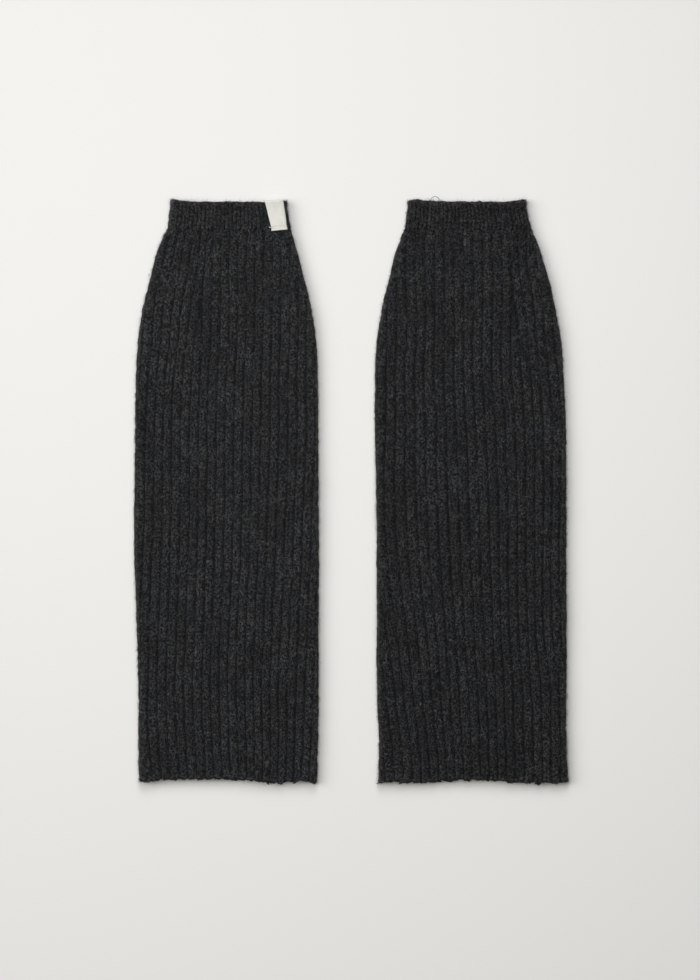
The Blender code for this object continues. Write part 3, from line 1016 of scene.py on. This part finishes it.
# A hair's parts, their length, width and rise in mm, and how much it curls and wavers in radians
HAIR_PARTS = 4
HAIR_STEP = (0.35, 1.05)
HAIR_WIDTH = (0.07, 0.15)
HAIR_TAPER = 0.75
HAIR_RISE = (1.6, 0.16)
RISE_SHARES = (1.3, 0.85, 0.40, -0.05, -0.50)
ROOT_DEPTH = 0.5 * MM
FIRST_LIFT = 0.35 * MM
HAIR_CURL = 0.55
HAIR_WAVER = 0.35
LEAST_HEIGHT = 0.05 * MM


def wool_fuzz(name, tube, growth, material, seed):
    """Hairs as narrow twisted ribbons, each rooted in the knit and curling over its face."""
    chance = np.random.default_rng(seed)
    count = growth.hairs
    down = chance.uniform(tube.start, tube.end, count)
    girth = tube.girth(down)
    arc = girth * chance.uniform(*HAIRY_GIRTH, count)
    fold = np.arange(count) < growth.at_folds * count
    half_round = np.where(chance.uniform(0.0, 1.0, count) < 0.5, 0.0, girth / 2.0)
    towards_front = np.where(half_round > 0.0, -1.0, 1.0)
    from_fold = towards_front * chance.normal(FOLD_CENTRE, FOLD_SPREAD, count) * MM
    arc = np.where(fold, half_round + from_fold, arc)
    edge = np.arange(count) >= (1.0 - growth.at_edge) * count
    from_edge = np.abs(chance.normal(0.0, EDGE_SPREAD, count)) * MM
    down = np.where(edge, tube.end - from_edge if tube.bottom_end else tube.start + from_edge, down)
    heading = chance.uniform(0.0, 2.0 * math.pi, count)
    curl = chance.normal(0.0, HAIR_CURL, count)
    step = chance.uniform(*HAIR_STEP, count) * MM
    height = np.full(count, -ROOT_DEPTH)
    rise = chance.gamma(*HAIR_RISE, count) * MM
    width = chance.uniform(*HAIR_WIDTH, count) * MM
    twist = chance.uniform(0.0, math.pi, count)
    rings = []
    for part in range(HAIR_PARTS + 1):
        taper = width * (1.0 - HAIR_TAPER * part / HAIR_PARTS) / 2.0
        side_arc = -np.sin(heading) * np.cos(twist) * taper
        side_down = np.cos(heading) * np.cos(twist) * taper
        side_up = np.sin(twist) * taper
        for sign in (-1.0, 1.0):
            points, _ = tube.place(arc + sign * side_arc, down + sign * side_down, height + sign * side_up)
            rings.append(points)
        arc = arc + np.cos(heading) * step
        down = down + np.sin(heading) * step
        heading = heading + curl + chance.normal(0.0, HAIR_WAVER, count)
        height = height + rise * RISE_SHARES[part]
        if part == 0:
            height = height + FIRST_LIFT
    vertices = np.stack(rings, axis=1).reshape(-1, 3)
    vertices[:, 2] = np.maximum(vertices[:, 2], LEAST_HEIGHT)
    per_hair = 2 * (HAIR_PARTS + 1)
    starts = np.arange(count)[:, None] * per_hair
    quad = np.array([[2 * p, 2 * p + 1, 2 * p + 3, 2 * p + 2] for p in range(HAIR_PARTS)]).reshape(-1)
    faces = (starts + quad[None, :]).reshape(-1, 4)
    mesh = bpy.data.meshes.new(name)
    mesh.from_pydata(vertices, [], faces.tolist())
    mesh.polygons.foreach_set("use_smooth", np.ones(len(faces), dtype=bool))
    mesh.materials.append(material)
    piece = put(name, mesh)
    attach(piece, "root")
    return piece


def fibre(name, dark, pale):
    """Single wool hairs, from charcoal to pale grey."""
    single = Wiring(name, Roughness=0.7, Specular_IOR_Level=0.2)
    patches = single.noise(420.0, (1.0, 1.0, 1.0), detail=1.0, roughness=0.5)
    paleness = single.ramp(patches, low=0.38, high=0.68, least=0.0, most=1.0, way="LINEAR")
    return single.finish(single.blend(paleness, dark, pale))


hair = fibre("wool_fibres", (0.016, 0.017, 0.017), (0.165, 0.165, 0.160))
for side, seed in (("left", 71), ("right", 72)):
    fuzz = wool_fuzz(f"{side}_body_fuzz", bodies[side][0], BODY_GROWTH, hair, seed)
    fuzz = wool_fuzz(f"{side}_cuff_fuzz", cuffs[side], CUFF_GROWTH, hair, seed + 2)

# ---------------------------------------------------------------------------------------------
# Loose yarn of the right leg warmer: a thin loop of it pulled up out of the bound edge, and the
# short tail of yarn left from casting on, at the hem's left corner.

right_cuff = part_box("right_cuff")
pulled = Vector((right_cuff[0][0] + 19.9 * MM, right_cuff[1][1] - 0.8 * MM, 4.0 * MM))
pulled_loop = [
    pulled,
    pulled + Vector((1.2, 1.9, 1.0)) * MM,
    pulled + Vector((3.4, 2.8, 1.3)) * MM,
    pulled + Vector((5.8, 1.8, 0.8)) * MM,
    pulled + Vector((6.8, -0.2, 0.0)) * MM,
]
threads("right_pulled_loop", [pulled_loop], 0.34 * MM, edge_wool)
right_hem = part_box("right_body")[0][1]
tail = Vector((bodies["right"][0].left[0] + 2.2 * MM, right_hem + 1.8 * MM, 3.2 * MM))
cast_on_tail = [tail, tail + Vector((-1.2, -1.5, -0.6)) * MM, tail + Vector((-2.6, -2.4, -1.6)) * MM]
threads("right_cast_on_tail", [cast_on_tail], 0.9 * MM, edge_wool)

# ---------------------------------------------------------------------------------------------
# Floor, light and camera: a plain pale surface under three soft boxes, one overhead and two large
# ones further off, from the top and from the left, seen from straight above.

ROOM = 10.0
corners = [(-ROOM, -ROOM, 0.0), (ROOM, -ROOM, 0.0), (ROOM, ROOM, 0.0), (-ROOM, ROOM, 0.0)]
floor_mesh = bpy.data.meshes.new("floor")
floor_mesh.from_pydata(corners, [], [(0, 1, 2, 3)])
floor = put("floor", floor_mesh)
floor.location.z = -0.1 * MM
paper = Wiring("pale_floor", Roughness=0.9, Specular_IOR_Level=0.0)
floor_mesh.materials.append(paper.finish((0.794, 0.794, 0.780)))

world = bpy.data.worlds.new("studio")
bpy.context.scene.world = world
world.use_nodes = True
sky = world.node_tree.nodes["Background"]
sky.inputs["Color"].default_value = (1.12, 1.0, 0.86, 1.0)
sky.inputs["Strength"].default_value = 0.08

# Azimuth and height in degrees, distances in metres; each aims at a point on the middle line
SoftBox = namedtuple("SoftBox", "name azimuth height away size aim_y watts")
SOFT_BOXES = (
    SoftBox(name="overhead", azimuth=106.0, height=82.0, away=1.0, size=1.05, aim_y=-0.38, watts=5.1),
    SoftBox(name="top_light", azimuth=92.5, height=36.5, away=4.0, size=1.73, aim_y=-0.10, watts=68.5),
    SoftBox(name="side_light", azimuth=168.0, height=36.5, away=3.9, size=2.4, aim_y=-0.25, watts=102.0),
)
for box in SOFT_BOXES:
    lamp = bpy.data.lights.new(box.name, "AREA")
    lamp.shape = "SQUARE"
    lamp.size = box.size
    lamp.energy = box.watts
    stand = put(box.name, lamp)
    turn = math.radians(box.azimuth)
    rise = math.radians(box.height)
    level = math.cos(rise)
    direction = Vector((level * math.cos(turn), level * math.sin(turn), math.sin(rise)))
    stand.location = direction * box.away
    backwards = stand.location - Vector((0.0, box.aim_y, 0.0))
    stand.rotation_euler = backwards.to_track_quat("Z", "Y").to_euler()

# The view takes in this many times the pair's length, with its middle a little off the pair's
SHOWN = 1.682
OFF_MIDDLE = (-1.1 * MM, 1.0 * MM)
low, high = (Vector(corner) for corner in cad_box)
camera_data = bpy.data.cameras.new("overhead")
camera_data.lens = 85.0
camera = put("overhead", camera_data)
shown_length = SHOWN * (high.y - low.y)
camera.location = (
    (low.x + high.x) / 2.0 + OFF_MIDDLE[0],
    (low.y + high.y) / 2.0 + OFF_MIDDLE[1],
    shown_length * camera_data.lens / camera_data.sensor_width,
)
bpy.context.scene.camera = camera
bpy.context.scene.view_settings.view_transform = "Standard"
